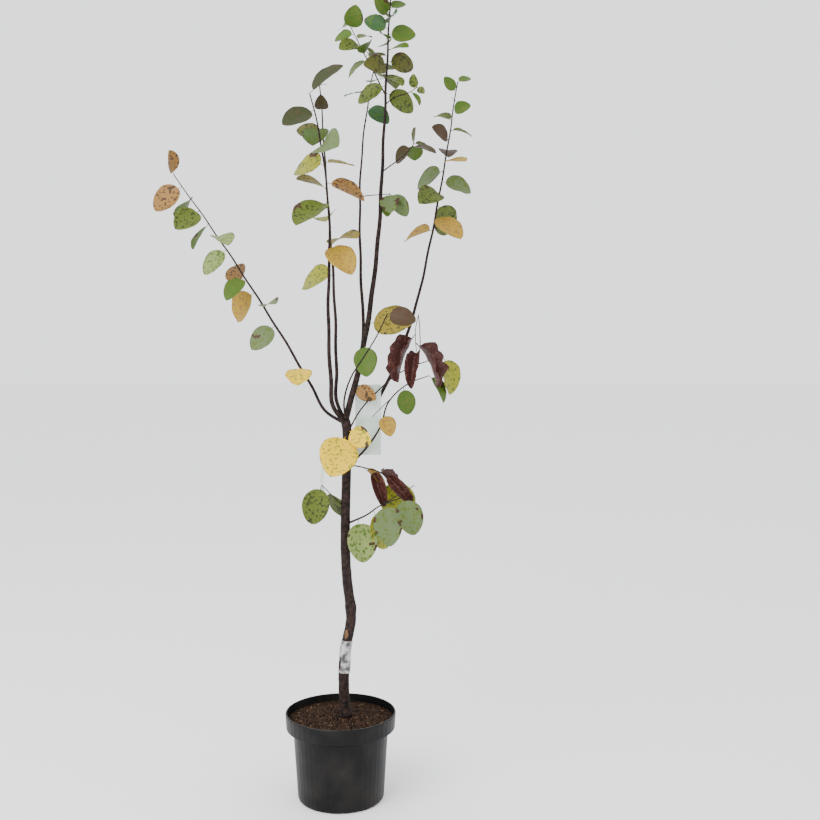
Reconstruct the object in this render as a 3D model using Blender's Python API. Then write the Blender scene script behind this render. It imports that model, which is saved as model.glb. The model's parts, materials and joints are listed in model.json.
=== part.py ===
"""A young quince tree in a black nursery pot, in its autumn leaf.

Metres, +Z up. The origin is the middle of the pot's flat underside, and the front of the tree
looks towards -Y. Each shoot is described by a few sizes: where it leaves its parent, how long it
is, and how far it leans along its length. Its leaves follow one rule: they climb the shoot in a
spiral, and smaller ones come nearer the tip. The lower part of a long shoot is a bough. The rest
of it, with its twigs, spurs and leaves, is one mass, fused into one solid.
"""

import math
import random
from dataclasses import dataclass

import bmesh
import bpy
from mathutils import Vector
from mathutils.bvhtree import BVHTree

# Clearance between neighbouring solids, and how near corners are before they are merged.
GAP = 0.0003
WELD = 0.000002
LATHE_WELD = 0.00002

# The pot: a tapered wall under a wider lip, on a flat underside.
POT_HEIGHT = 0.196
RIM_RADIUS = 0.1225
SHOULDER_RADIUS = 0.1050
FOOT_RADIUS = 0.0960
FOOT_ROUNDING = 0.008
LIP_HEIGHT = 0.034
LIP_CHAMFER = 0.008
LIP_DRAFT = 0.002
WALL = 0.0022
RIM_BEVEL = (0.001, 0.002)
LIP_INSIDE = 0.001
FLOOR_THICKNESS = 0.008
FOOT_STEPS = 3
POT_SIDES = 48
NOTCH_COUNT = 8
NOTCH_WIDTH = 0.026
NOTCH_HEIGHT = 0.0045
NOTCH_DEPTH = 0.006

# The compost: level round the trunk, and a little lower at the wall.
SOIL_TOP = 0.184
SOIL_EDGE = 0.179
SOIL_LEVEL_RADIUS = 0.030
SOIL_SLOPE_SHARE = 0.6
SOIL_SLOPE_DROP = 0.0015

# The trunk: how far right of the pot's middle it stands at each of a few heights.
TRUNK_RADIUS = (0.0120, 0.0096)
TRUNK_LINE = {
    SOIL_TOP + GAP: 0.011,
    0.260: 0.007,
    0.335: 0.011,
    0.410: 0.024,
    0.500: 0.015,
    0.600: 0.012,
    0.800: 0.017,
    0.846: 0.0135,
}
# Its swellings: height, extra radius, and reach up and down.
ROOT_FLARE = (0.184, 0.0040, 0.014)
GRAFT = (0.300, 0.0007, 0.030)
OLD_NODE = (0.431, 0.0018, 0.010)
BOUGH_COLLAR = (0.757, 0.0009, 0.012)
FORK_COLLAR = (0.838, 0.0010, 0.018)
SWELLINGS = (ROOT_FLARE, GRAFT, OLD_NODE, BOUGH_COLLAR, FORK_COLLAR)

# The tape round the graft.
TAPE_FOOT = 0.286
TAPE_TOP = 0.356
TAPE_THICKNESS = 0.0009
BORE_OVERRUN = 0.02

# The blank plant label: a stiff plate, and a strap wound round the trunk with its end hanging.
LABEL_THICKNESS = 0.0008
PLATE_WIDTH = 0.056
PLATE_FOOT = 0.768
PLATE_TOP = 0.922
PLATE_MIDDLE = 0.0625
PLATE_DEPTH = 0.0125
STRAP_WIDTH = 0.007
STRAP_RADIUS = 0.0135
STRAP_FOOT = 0.7915
STRAP_PITCH = 0.0098
STRAP_START = 45.0
STRAP_WOUND = 425.0
STRAP_STEP = 25.0
STRAP_INSET_SHARE = 0.4
TAIL_REACH = 0.050
TAIL_FORWARD = 0.020
TAIL_FOOT = 0.676
# The tail's bends: share of its reach, and share of its fall.
TAIL_BENDS = ((0.4, 0.03), (0.75, 0.18), (0.95, 0.42), (1.0, 0.70), (0.96, 1.0))

# Limbs.
TRUNK_SIDES = 12
BOUGH_SIDES = 8
TWIG_SIDES = 5
SPUR_SIDES = 3
STEP = 0.055
FEWEST_STEPS = 5
WOBBLE = 2.0
WOBBLE_SHARE = (0.5, 1.0)
NEAREST_RING = 0.004
COLLAR_SHARE = 0.10
MIDDLE_SHARE = 0.50
SPUR_SPACING = 0.110
SPUR_LENGTH = (0.005, 0.011)
SPUR_RADIUS = 0.0013
SPUR_LEAN = 50.0
SPUR_FIRST = 0.5
SPUR_LAST = 0.3
SPUR_UNEVEN = (0.8, 1.2)
# A spur's rings: share of its length, and share of its radius.
SPUR_RINGS = ((0.0, 1.0), (0.6, 1.0), (1.0, 0.4))
SPUR_FREE_SHARE = {"stem": 0.15, "twig": 0.2}

# The spiral that leaves and spurs climb by.
SPIRAL = 144.0
SPIRAL_UNEVEN = (-25.0, 25.0)
CROWDED_TOP = 0.9
DROOP_UNEVEN = (0.6, 1.3)
LENGTH_UNEVEN = (0.85, 1.1)
OUTWARD_FACING = 0.2
ROOTED_SHARE = 0.6
ALONG_THE_STEM = 0.05

# Leaves.
STALK_SHARE = 0.10
STALK_HALF_WIDTH = 0.0007
LEAF_THICKNESS_SHARE = 0.014
LEAF_LEAST_THICKNESS = 0.0009
LARGE_LEAF = 0.045
LARGE_STATIONS = (0.10, 0.42, 0.78)
SMALL_STATIONS = (0.22, 0.66)
LEAF_FOLD = (6.0, 20.0)
LEAF_BREADTH = (0.68, 0.84)
LEAF_LEAST_CURL = 1.0
BLADE_LEAN = 0.8
BLADE_FULLNESS = 0.6
BLADE_THINNING = (1.1, 0.6)


@dataclass
class Foliage:
    """The leaves of one shoot. Each pair is for its lowest leaf and for its last one."""

    count: int
    first: float              # how far up the shoot the lowest leaf is, 0 to 1
    size: tuple               # leaf length with its stalk
    seed: int
    start: float = 0.0        # the side of the lowest leaf: 0 right, 90 back, 180 left, 270 front
    favour: float = 270.0     # the side that the leaves turn towards
    squeeze: float = 1.0      # 1 for leaves on all sides, less where they crowd the favoured one
    spread: tuple = (75.0, 45.0)   # angle between leaf and shoot
    droop: tuple = (0.8, 0.3)      # how strongly each leaf hangs
    facing: tuple = (0.2, 0.9)     # range: 0 faces the sky, 1 faces the front
    curl: tuple = (10.0, 45.0)     # range of the curl along a leaf
    tints: tuple = ("green",)      # from the lowest leaf to the last


@dataclass
class Shoot:
    """One shoot. Its angles are read at the foot, past the collar, half way and at the tip."""

    parent: str
    at: float                 # how far up its parent it starts, 0 to 1
    length: float
    radius: tuple             # at the foot and at the tip
    lean: tuple               # degrees from upright, to the right
    forward: tuple            # degrees from upright, to the front
    foliage: Foliage = None


@dataclass
class Leaf:
    """One leaf by itself."""

    at: float                 # how far up its shoot it is, 0 to 1
    clock: float              # where it points, seen from the front: 0 up, 90 right
    out: float                # degrees that it leans to the front
    length: float
    turned: float             # degrees from facing the front to facing up
    curl: float
    breadth: float
    tint: str


# The boughs, and how far up its shoot each one runs.
BOUGHS = {
    "leader": 0.70,
    "right": 0.59,
    "second": 0.80,
    "left": 0.36,
    "front_left": 0.52,
    "back_left": 0.31,
}

# The masses: the main shoot of each, and the twigs that branch from it.
MASSES = {
    "crown_top": ("leader", ["top_left", "top_right"]),
    "right_wand": ("right", []),
    "second_wand": ("second", []),
    "left_wand": ("left", []),
    "front_left_wand": ("front_left", []),
    "back_left_wand": ("back_left", []),
    "front_shoot": ("front", []),
    "brown_shoot": ("brown", ["dead_twig", "dead_stalk"]),
    "lower_right_shoot": ("lower_right", ["bare_twig"]),
    "mid_right_twig": ("mid_right", []),
    "second_side_twig": ("second_twig", []),
    "low_dead_spray": ("low_dead", []),
    "low_mottled_spray": ("low_mottled", ["low_forked"]),
    "low_left_spray": ("low_left", []),
}

SHOOTS = {
    "leader": Shoot(
        "trunk", 0.998, 0.945, (0.0072, 0.0013), lean=(17, 13, 3, 3), forward=(-4, -4, 1, 4),
        foliage=Foliage(
            22, 0.75, (0.066, 0.038), seed=5, start=20, droop=(0.7, 0.1),
            tints=("olive_green", "olive", "green", "blue_green", "green", "pale_green"),
        ),
    ),
    "top_left": Shoot(
        "leader", 0.745, 0.178, (0.0018, 0.0008), lean=(-22, -25, -28, -25), forward=(-12, -12, -11, -11),
        foliage=Foliage(
            9, 0.40, (0.050, 0.052), seed=3, start=0, tints=("grey_green", "green", "olive_green", "green"),
        ),
    ),
    "top_right": Shoot(
        "leader", 0.725, 0.088, (0.0014, 0.0008), lean=(45, 58, 80, 60), forward=(33, 33, 33, 33),
        foliage=Foliage(3, 0.78, (0.040, 0.024), seed=2, start=0, tints=("green", "olive_green")),
    ),
    "right": Shoot(
        "trunk", 0.873, 0.895, (0.0047, 0.0012), lean=(24, 31, 12, 8), forward=(-46, -12, -5, -8),
        foliage=Foliage(
            15, 0.62, (0.096, 0.040), seed=4, start=170, droop=(0.9, 0.3),
            tints=("gold", "olive_green", "grey_green", "gold", "brown", "olive_green", "green", "green"),
        ),
    ),
    "second": Shoot(
        "leader", 0.155, 0.655, (0.0041, 0.0011), lean=(11, -4, 0, 12), forward=(-20, -9, -7, -7),
        foliage=Foliage(
            5, 0.84, (0.066, 0.038), seed=1, start=0, tints=("blue_green", "green", "olive_green"),
        ),
    ),
    "left": Shoot(
        "trunk", 0.985, 0.685, (0.0037, 0.0011), lean=(-75, -30, -33, -37), forward=(-10, -9, -9, -7),
        foliage=Foliage(
            12, 0.40, (0.084, 0.072), seed=7, start=190, favour=200, squeeze=0.75, droop=(1.0, 0.9),
            tints=("grey_green", "gold", "green", "tan", "pale_green", "green", "olive_green", "green", "tan"),
        ),
    ),
    "front_left": Shoot(
        "trunk", 0.985, 0.708, (0.0052, 0.0013), lean=(-48, -4, 3, -14), forward=(22, 9, 7, 9),
        foliage=Foliage(
            9, 0.56, (0.108, 0.082), seed=6, start=300, droop=(0.8, 0.7),
            tints=("gold", "olive_green", "tan", "yellow_green", "grey_green", "green", "dark_olive"),
        ),
    ),
    "back_left": Shoot(
        "trunk", 0.990, 0.732, (0.0043, 0.0013), lean=(-34, 1, -4, -4), forward=(-6, 3, -1, -8),
        foliage=Foliage(
            9, 0.34, (0.128, 0.046), seed=9, start=10, droop=(0.5, 0.5),
            tints=("yellow_green", "olive_gold", "yellow_green", "olive_gold", "olive", "brown_green"),
        ),
    ),
    "front": Shoot(
        "trunk", 0.985, 0.288, (0.0023, 0.0012), lean=(-14, -2, 34, 26), forward=(23, 23, 23, 24),
        foliage=Foliage(1, 1.0, (0.067, 0.067), seed=1, start=0, droop=(0.0, 0.0), tints=("brown",)),
    ),
    "brown": Shoot(
        "trunk", 0.953, 0.295, (0.0019, 0.0010), lean=(25, 30, 52, 82), forward=(8, 5, -24, -22),
        foliage=Foliage(1, 1.0, (0.100, 0.100), seed=2, start=0, droop=(0.9, 0.9), tints=("yellow_green",)),
    ),
    "dead_twig": Shoot("brown", 0.79, 0.112, (0.0012, 0.0009), lean=(10, 6, 0, -8), forward=(10,) * 4),
    "dead_stalk": Shoot(
        "dead_twig", 0.98, 0.080, (0.0009, 0.0008), lean=(-60, -165, -178, -190), forward=(14, 14, 14, 14),
        foliage=Foliage(3, 0.55, (0.110, 0.085), seed=3, start=200, spread=(35.0, 25.0), tints=("dead",)),
    ),
    "lower_right": Shoot(
        "trunk", 0.841, 0.290, (0.0027, 0.0011), lean=(62, 46, 20, 84), forward=(8, 4, -14, -26),
        foliage=Foliage(
            3, 0.50, (0.048, 0.076), seed=5, start=280, droop=(1.8, 1.8), tints=("gold", "green", "green"),
        ),
    ),
    "bare_twig": Shoot("lower_right", 0.66, 0.066, (0.0011, 0.0008), lean=(-134,) * 4, forward=(20,) * 4),
    "mid_right": Shoot(
        "leader", 0.575, 0.105, (0.0016, 0.0009), lean=(44, 52, 50, 32), forward=(-24, -24, -24, -24),
        foliage=Foliage(5, 0.88, (0.060, 0.042), seed=1, start=180, tints=("brown_green", "green", "olive")),
    ),
    "second_twig": Shoot(
        "second", 0.535, 0.078, (0.0012, 0.0008), lean=(58, 84, 90, 87), forward=(30, 30, 30, 30),
        foliage=Foliage(
            4, 0.88, (0.058, 0.056), seed=4, start=270, droop=(1.2, 0.9), tints=("green", "grey_green"),
        ),
    ),
    "low_dead": Shoot(
        "trunk", 0.850, 0.108, (0.0017, 0.0011), lean=(94, 98, 108, 118), forward=(-14, -14, -15, -15),
        foliage=Foliage(
            5, 0.37, (0.080, 0.105), seed=8, start=300, droop=(1.2, 1.2), spread=(50.0, 30.0),
            tints=("gold", "dead", "dead", "dead", "yellow_green"),
        ),
    ),
    "low_mottled": Shoot(
        "trunk", 0.654, 0.142, (0.0025, 0.0010), lean=(66, 67, 54, 74), forward=(14, 14, 14, 14),
        foliage=Foliage(
            4, 0.22, (0.108, 0.090), seed=2, start=280, droop=(2.2, 2.0),
            tints=("pale_green", "yellow_green", "grey_green", "grey_green"),
        ),
    ),
    "low_forked": Shoot("low_mottled", 0.62, 0.098, (0.0013, 0.0009), lean=(57,) * 4, forward=(18,) * 4),
    "low_left": Shoot(
        "trunk", 0.708, 0.078, (0.0014, 0.0009), lean=(-46, -44, -42, -42), forward=(19, 19, 19, 19),
        foliage=Foliage(1, 1.0, (0.097, 0.097), seed=1, start=200, droop=(2.6, 2.6), facing=(1.0, 1.0),
                        tints=("olive_green",)),
    ),
}

# The leaves that stand alone: node name, the shoot that carries it, and the leaf.
LONE_LEAVES = {
    "leaf_left_bough": ("left", Leaf(0.24, 180, 65, 0.080, 0, 25, 0.81, "lemon")),
    "leaf_leader_tan": ("leader", Leaf(0.08, 120, 15, 0.052, 5, 60, 0.74, "tan")),
    "leaf_leader_green": ("leader", Leaf(0.18, 175, 25, 0.076, 0, 10, 0.76, "green")),
    "leaf_leader_yellow": ("leader", Leaf(0.23, 85, 20, 0.108, 30, 12, 0.74, "olive_gold")),
    "leaf_fork_large": ("trunk", Leaf(0.950, -160, 40, 0.112, 0, 12, 0.84, "lemon")),
    "leaf_fork_small": ("trunk", Leaf(0.965, 118, 38, 0.070, 5, 15, 0.76, "lemon")),
    "leaf_behind_trunk": ("trunk", Leaf(0.67, -35, -35, 0.073, 60, 10, 0.74, "olive_green")),
}

TINTS = {
    "green": (0.17, 0.26, 0.05),
    "blue_green": (0.12, 0.22, 0.11),
    "grey_green": (0.24, 0.30, 0.16),
    "pale_green": (0.36, 0.42, 0.20),
    "olive_green": (0.22, 0.26, 0.06),
    "olive": (0.20, 0.20, 0.05),
    "dark_olive": (0.10, 0.12, 0.03),
    "yellow_green": (0.42, 0.42, 0.07),
    "olive_gold": (0.40, 0.34, 0.08),
    "gold": (0.50, 0.38, 0.09),
    "lemon": (0.80, 0.62, 0.07),
    "tan": (0.42, 0.28, 0.11),
    "brown": (0.16, 0.10, 0.05),
    "brown_green": (0.14, 0.12, 0.04),
    "dead": (0.05, 0.02, 0.015),
}

FRONT = Vector((0.0, -1.0, 0.0))
UP = Vector((0.0, 0.0, 1.0))


def clear_scene():
    """Empties the scene."""
    for obj in list(bpy.data.objects):
        bpy.data.objects.remove(obj, do_unlink=True)


def make_material(name, colour, roughness):
    """A plain material, made once and then reused."""
    found = bpy.data.materials.get(name)
    if found:
        return found
    material = bpy.data.materials.new(name)
    material.use_nodes = True
    shader = material.node_tree.nodes["Principled BSDF"]
    shader.inputs["Base Color"].default_value = (*colour, 1.0)
    shader.inputs["Roughness"].default_value = roughness
    material.diffuse_color = (*colour, 1.0)
    return material


def bark_material():
    """Dark red-brown bark."""
    return make_material("bark", (0.045, 0.025, 0.022), 0.55)


def leaf_material(tint):
    """One tint of leaf."""
    return make_material("leaf " + tint, TINTS[tint], 0.5)


def to_object(name, mesh_data, material):
    """Makes an object of a bmesh, links it and frees the bmesh."""
    mesh = bpy.data.meshes.new(name)
    bmesh.ops.recalc_face_normals(mesh_data, faces=mesh_data.faces)
    mesh_data.to_mesh(mesh)
    mesh_data.free()
    mesh.materials.append(material)
    obj = bpy.data.objects.new(name, mesh)
    bpy.context.scene.collection.objects.link(obj)
    return obj


def read_angle(angles, share):
    """An angle at a share of the length, from those at the foot, collar, middle and tip."""
    stops = (0.0, COLLAR_SHARE, MIDDLE_SHARE, 1.0)
    for index in range(3):
        if share <= stops[index + 1]:
            break
    t = (share - stops[index]) / (stops[index + 1] - stops[index])
    return angles[index] + (angles[index + 1] - angles[index]) * t


def pointing(clock, out):
    """The direction at a clock angle seen from the front, leaning out to the front."""
    clock, out = math.radians(clock), math.radians(out)
    return Vector((math.cos(out) * math.sin(clock), -math.sin(out), math.cos(out) * math.cos(clock)))


def shoot_path(name, foot):
    """The points of a shoot's middle line, stepped up from its foot along its leaning angles."""
    shoot = SHOOTS[name]
    chance = random.Random("path " + name)
    steps = max(FEWEST_STEPS, round(shoot.length / STEP))
    path = [foot]
    for step in range(steps):
        share = (step + 0.5) / steps
        side = WOBBLE if step % 2 else -WOBBLE
        lean = read_angle(shoot.lean, share) + side * chance.uniform(*WOBBLE_SHARE)
        forward = read_angle(shoot.forward, share)
        path.append(path[-1] + pointing(lean, forward) * (shoot.length / steps))
    return path


class Limb:
    """A tapering round limb along a path."""

    def __init__(self, name, path, radius, sides, swellings=()):
        self.name = name
        self.foot, self.tip = radius
        self.sides = sides
        self.swellings = swellings
        self.path = path
        walked = [0.0]
        for start, end in zip(self.path, self.path[1:]):
            walked.append(walked[-1] + (end - start).length)
        self.length = walked[-1]
        self.shares = [distance / self.length for distance in walked]
        self.axes = self.turn_axes()

    def turn_axes(self):
        """One sideways axis at each point of the path, carried along without twist."""
        axes = []
        axis = Vector((1.0, 0.0, 0.0))
        for index in range(len(self.path)):
            before = self.path[max(index - 1, 0)]
            after = self.path[min(index + 1, len(self.path) - 1)]
            along = (after - before).normalized()
            axis = (axis - along * axis.dot(along)).normalized()
            axes.append((along, axis))
        return axes

    def place(self, share):
        """The point, the direction and the sideways axis at a share of the length."""
        for index in range(len(self.shares) - 1):
            if share <= self.shares[index + 1]:
                break
        low, high = self.shares[index], self.shares[index + 1]
        t = (share - low) / (high - low)
        point = self.path[index].lerp(self.path[index + 1], t)
        along = self.axes[index][0].lerp(self.axes[index + 1][0], t).normalized()
        axis = self.axes[index][1].lerp(self.axes[index + 1][1], t)
        axis = (axis - along * axis.dot(along)).normalized()
        return point, along, axis

    def radius(self, share, height):
        """The radius there, with the swellings near that height."""
        radius = self.foot + (self.tip - self.foot) * share
        for level, extra, reach in self.swellings:
            radius += extra * math.exp(-((height - level) / reach) ** 2)
        return radius

    def solid(self, start, end, grown=0.0, level_foot=False):
        """The closed tube between two shares of the length, as a bmesh."""
        tube = bmesh.new()
        stations = [start] + [s for s in self.shares if start + NEAREST_RING < s < end - NEAREST_RING] + [end]
        rings = []
        for station in stations:
            point, along, axis = self.place(min(max(station, 0.0), 1.0))
            if station in (start, end) and grown:
                point = point + along * (grown if station == end else -grown)
            other = along.cross(axis)
            radius = self.radius(station, point.z) + grown / math.cos(math.pi / self.sides)
            ring = []
            for side in range(self.sides):
                angle = math.tau * side / self.sides
                corner = point + axis * (radius * math.cos(angle)) + other * (radius * math.sin(angle))
                if level_foot and station == start:
                    corner.z = point.z
                ring.append(tube.verts.new(corner))
            rings.append(ring)
        bridge_rings(tube, rings)
        tube.faces.new(reversed(rings[0]))
        tube.faces.new(rings[-1])
        return tube


def bridge_rings(shape, rings):
    """Joins each ring of corners to the next with a band of faces."""
    for low, high in zip(rings, rings[1:]):
        for side in range(len(low)):
            after = (side + 1) % len(low)
            shape.faces.new((low[side], low[after], high[after], high[side]))


def blade_half_width(share):
    """The outline of a blade: its half width at a share of its length, 1 at the widest."""
    return math.sin(math.pi * share ** BLADE_LEAN) ** BLADE_FULLNESS


def lone_frame(leaf):
    """The direction along a leaf that stands alone, and the one that its upper face looks in."""
    along = pointing(leaf.clock, leaf.out)
    face = (FRONT - along * FRONT.dot(along)).normalized()
    side = along.cross(face)
    if side.z < 0.0:
        side = -side
    turned = math.radians(leaf.turned)
    return along, face * math.cos(turned) + side * math.sin(turned)


def leaf_solid(root, along, normal, length, breadth, curl, fold):
    """One leaf as a closed lens with a stalk, as a bmesh."""
    across = normal.cross(along)
    rise_share = math.tan(math.radians(fold))
    half_width = 0.5 * breadth * length * (1.0 - STALK_SHARE)
    thickness = max(LEAF_LEAST_THICKNESS, LEAF_THICKNESS_SHARE * length)
    arc = math.radians(max(curl, LEAF_LEAST_CURL))
    arc_radius = length / (2 * math.sin(arc / 2))

    def ring(shape, share, half, rise, thick):
        angle = arc * (share - 0.5)
        middle = (
            root
            + along * (arc_radius * (math.sin(angle) + math.sin(arc / 2)))
            + normal * (arc_radius * (math.cos(angle) - math.cos(arc / 2)))
        )
        up = normal * math.cos(angle) + along * math.sin(angle)
        if half == 0.0:
            return [shape.verts.new(middle)]
        return [
            shape.verts.new(middle - across * half + up * rise),
            shape.verts.new(middle - up * (thick / 2)),
            shape.verts.new(middle + across * half + up * rise),
            shape.verts.new(middle + up * (thick / 2)),
        ]

    shape = bmesh.new()
    rings = [
        ring(shape, 0.0, STALK_HALF_WIDTH, 0.0, 2 * STALK_HALF_WIDTH),
        ring(shape, STALK_SHARE, STALK_HALF_WIDTH, 0.0, 2 * STALK_HALF_WIDTH),
    ]
    for station in LARGE_STATIONS if length > LARGE_LEAF else SMALL_STATIONS:
        half = half_width * blade_half_width(station)
        share = STALK_SHARE + (1.0 - STALK_SHARE) * station
        thick = thickness * (BLADE_THINNING[0] - BLADE_THINNING[1] * station)
        rings.append(ring(shape, share, half, half * rise_share, thick))
    bridge_rings(shape, rings)
    shape.faces.new(reversed(rings[0]))
    tip = ring(shape, 1.0, 0.0, 0.0, 0.0)[0]
    for side in range(4):
        shape.faces.new((rings[-1][side], rings[-1][(side + 1) % 4], tip))
    return shape


def rooted(limb, share, along):
    """A point just inside a limb's bark, on the side that a leaf there points to."""
    point, stem, _ = limb.place(share)
    sideways = along - stem * along.dot(stem)
    if sideways.length < ALONG_THE_STEM:
        return point
    return point + sideways.normalized() * (ROOTED_SHARE * limb.radius(share, point.z))


def foliage_leaves(limb, foliage):
    """The leaves of one shoot, by the spiral rule: each one's solid and its tint."""
    chance = random.Random(foliage.seed)
    for number in range(foliage.count):
        t = number / max(foliage.count - 1, 1)
        share = foliage.first + (1.0 - foliage.first) * t ** CROWDED_TOP
        _, stem, axis = limb.place(share)
        side = foliage.start + SPIRAL * number + chance.uniform(*SPIRAL_UNEVEN)
        away = (side - foliage.favour + 180.0) % 360.0 - 180.0
        side = math.radians(foliage.favour + away * foliage.squeeze)
        level = (axis * math.cos(side) + stem.cross(axis) * math.sin(side)).normalized()
        spread = math.radians(foliage.spread[0] + (foliage.spread[1] - foliage.spread[0]) * t)
        droop = foliage.droop[0] + (foliage.droop[1] - foliage.droop[0]) * t
        hang = droop * chance.uniform(*DROOP_UNEVEN)
        along = stem * math.cos(spread) + level * math.sin(spread) - UP * hang
        along.normalize()
        facing = chance.uniform(*foliage.facing)
        normal = UP * (1.0 - facing) + FRONT * facing + level * OUTWARD_FACING
        normal = (normal - along * normal.dot(along)).normalized()
        length = foliage.size[0] + (foliage.size[1] - foliage.size[0]) * t
        length *= chance.uniform(*LENGTH_UNEVEN)
        shape = leaf_solid(
            rooted(limb, share, along), along, normal, length,
            chance.uniform(*LEAF_BREADTH), chance.uniform(*foliage.curl), chance.uniform(*LEAF_FOLD),
        )
        tint = foliage.tints[min(int(t * len(foliage.tints)), len(foliage.tints) - 1)]
        yield shape, tint


def spur_solids(limb, start):
    """Short bud spurs, one every so often along a stem, by a seeded rule."""
    chance = random.Random(limb.name)
    spurs = []
    distance = start * limb.length + SPUR_SPACING * SPUR_FIRST
    turn = chance.uniform(0.0, math.tau)
    while distance < limb.length - SPUR_SPACING * SPUR_LAST:
        point, along, axis = limb.place(distance / limb.length)
        other = along.cross(axis)
        out = axis * math.cos(turn) + other * math.sin(turn)
        lean_angle = math.radians(SPUR_LEAN)
        lean = (along * math.cos(lean_angle) + out * math.sin(lean_angle)).normalized()
        radius = limb.radius(distance / limb.length, point.z)
        length = radius + chance.uniform(*SPUR_LENGTH)
        side = lean.cross(along).normalized()
        shape = bmesh.new()
        rings = []
        for reach, width in SPUR_RINGS:
            ring = []
            for corner in range(SPUR_SIDES):
                angle = math.tau * corner / SPUR_SIDES
                spread = side * math.cos(angle) + side.cross(lean) * math.sin(angle)
                ring.append(shape.verts.new(point + lean * (length * reach) + spread * (SPUR_RADIUS * width)))
            rings.append(ring)
        bridge_rings(shape, rings)
        shape.faces.new(reversed(rings[0]))
        shape.faces.new(rings[-1])
        spurs.append(shape)
        turn += math.radians(SPIRAL)
        distance += SPUR_SPACING * chance.uniform(*SPUR_UNEVEN)
    return spurs


def apply_boolean(body, operation, operands):
    """Applies one exact Boolean of a collection of operands to a body, and drops the operands."""
    group = bpy.data.collections.new("operands")
    for operand in operands:
        group.objects.link(operand)
    modifier = body.modifiers.new(operation.lower(), "BOOLEAN")
    modifier.operation = operation
    modifier.operand_type = "COLLECTION"
    modifier.collection = group
    modifier.solver = "EXACT"
    bpy.context.view_layer.update()
    bpy.context.view_layer.objects.active = body
    bpy.ops.object.modifier_apply(modifier=modifier.name)
    for operand in operands:
        bpy.data.objects.remove(operand, do_unlink=True)
    bpy.data.collections.remove(group)


def keep_largest(body):
    """Drops every loose scrap of a mesh and keeps its largest piece."""
    shape = bmesh.new()
    shape.from_mesh(body.data)
    bmesh.ops.remove_doubles(shape, verts=shape.verts, dist=WELD)
    bmesh.ops.dissolve_degenerate(shape, edges=shape.edges, dist=WELD)
    waiting = set(shape.verts)
    pieces = []
    while waiting:
        piece = set()
        edge = [waiting.pop()]
        while edge:
            vert = edge.pop()
            piece.add(vert)
            for link in vert.link_edges:
                other = link.other_vert(vert)
                if other in waiting:
                    waiting.discard(other)
                    edge.append(other)
        pieces.append(piece)
    pieces.sort(key=len)
    for piece in pieces[:-1]:
        bmesh.ops.delete(shape, geom=list(piece), context="VERTS")
    bmesh.ops.triangulate(shape, faces=shape.faces)
    shape.to_mesh(body.data)
    shape.free()


def trim_foot(body, limbs):
    """Cuts a foot clear of the limbs that it grows from."""
    cutters = []
    for limb in limbs:
        cutters.append(to_object("clearance", limb.solid(0.0, 1.0, grown=GAP), bark_material()))
    apply_boolean(body, "DIFFERENCE", cutters)
    keep_largest(body)


def lathe(name, outline, sides, material):
    """A solid turned about Z from an outline of (radius, height) that starts and ends on the axis."""
    shape = bmesh.new()
    verts = [shape.verts.new((radius, 0.0, height)) for radius, height in outline]
    edges = [shape.edges.new(pair) for pair in zip(verts, verts[1:])]
    bmesh.ops.spin(
        shape, geom=verts + edges, cent=(0, 0, 0), axis=(0, 0, 1), angle=math.tau, steps=sides,
    )
    bmesh.ops.remove_doubles(shape, verts=shape.verts, dist=LATHE_WELD)
    return to_object(name, shape, material)


def wall_radius(height):
    """The outer radius of the pot's tapered wall at a height."""
    shoulder = POT_HEIGHT - LIP_HEIGHT - LIP_CHAMFER
    return FOOT_RADIUS + (SHOULDER_RADIUS - FOOT_RADIUS) * height / shoulder


def make_pot():
    """The nursery pot, with its drainage notches cut in the corner of its foot."""
    shoulder = POT_HEIGHT - LIP_HEIGHT - LIP_CHAMFER
    under_lip = POT_HEIGHT - LIP_HEIGHT
    rounding = []
    for step in range(FOOT_STEPS + 1):
        angle = math.radians(90.0 * step / FOOT_STEPS)
        rounding.append((
            wall_radius(0.0) - FOOT_ROUNDING * (1 - math.sin(angle)),
            FOOT_ROUNDING * (1 - math.cos(angle)),
        ))
    outline = [(0.0, 0.0)] + rounding + [
        (SHOULDER_RADIUS, shoulder),
        (RIM_RADIUS - LIP_DRAFT, under_lip),
        (RIM_RADIUS, POT_HEIGHT - RIM_BEVEL[1]),
        (RIM_RADIUS - RIM_BEVEL[0], POT_HEIGHT),
        (RIM_RADIUS - WALL - RIM_BEVEL[0], POT_HEIGHT),
        (RIM_RADIUS - LIP_DRAFT - WALL, under_lip + LIP_INSIDE),
        (SHOULDER_RADIUS - WALL, shoulder + LIP_INSIDE),
        (wall_radius(FLOOR_THICKNESS) - WALL, FLOOR_THICKNESS),
        (0.0, FLOOR_THICKNESS),
    ]
    pot = lathe("pot", outline, POT_SIDES, make_material("black plastic", (0.03, 0.03, 0.033), 0.45))
    cutters = []
    for index in range(NOTCH_COUNT):
        angle = math.tau * (index + 0.5) / NOTCH_COUNT
        bpy.ops.mesh.primitive_cube_add(
            size=1.0,
            location=(FOOT_RADIUS * math.cos(angle), FOOT_RADIUS * math.sin(angle), 0.0),
            rotation=(0.0, 0.0, angle),
            scale=(2 * NOTCH_DEPTH, NOTCH_WIDTH, 2 * NOTCH_HEIGHT),
        )
        cutters.append(bpy.context.active_object)
    apply_boolean(pot, "DIFFERENCE", cutters)
    keep_largest(pot)
    return pot


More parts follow.
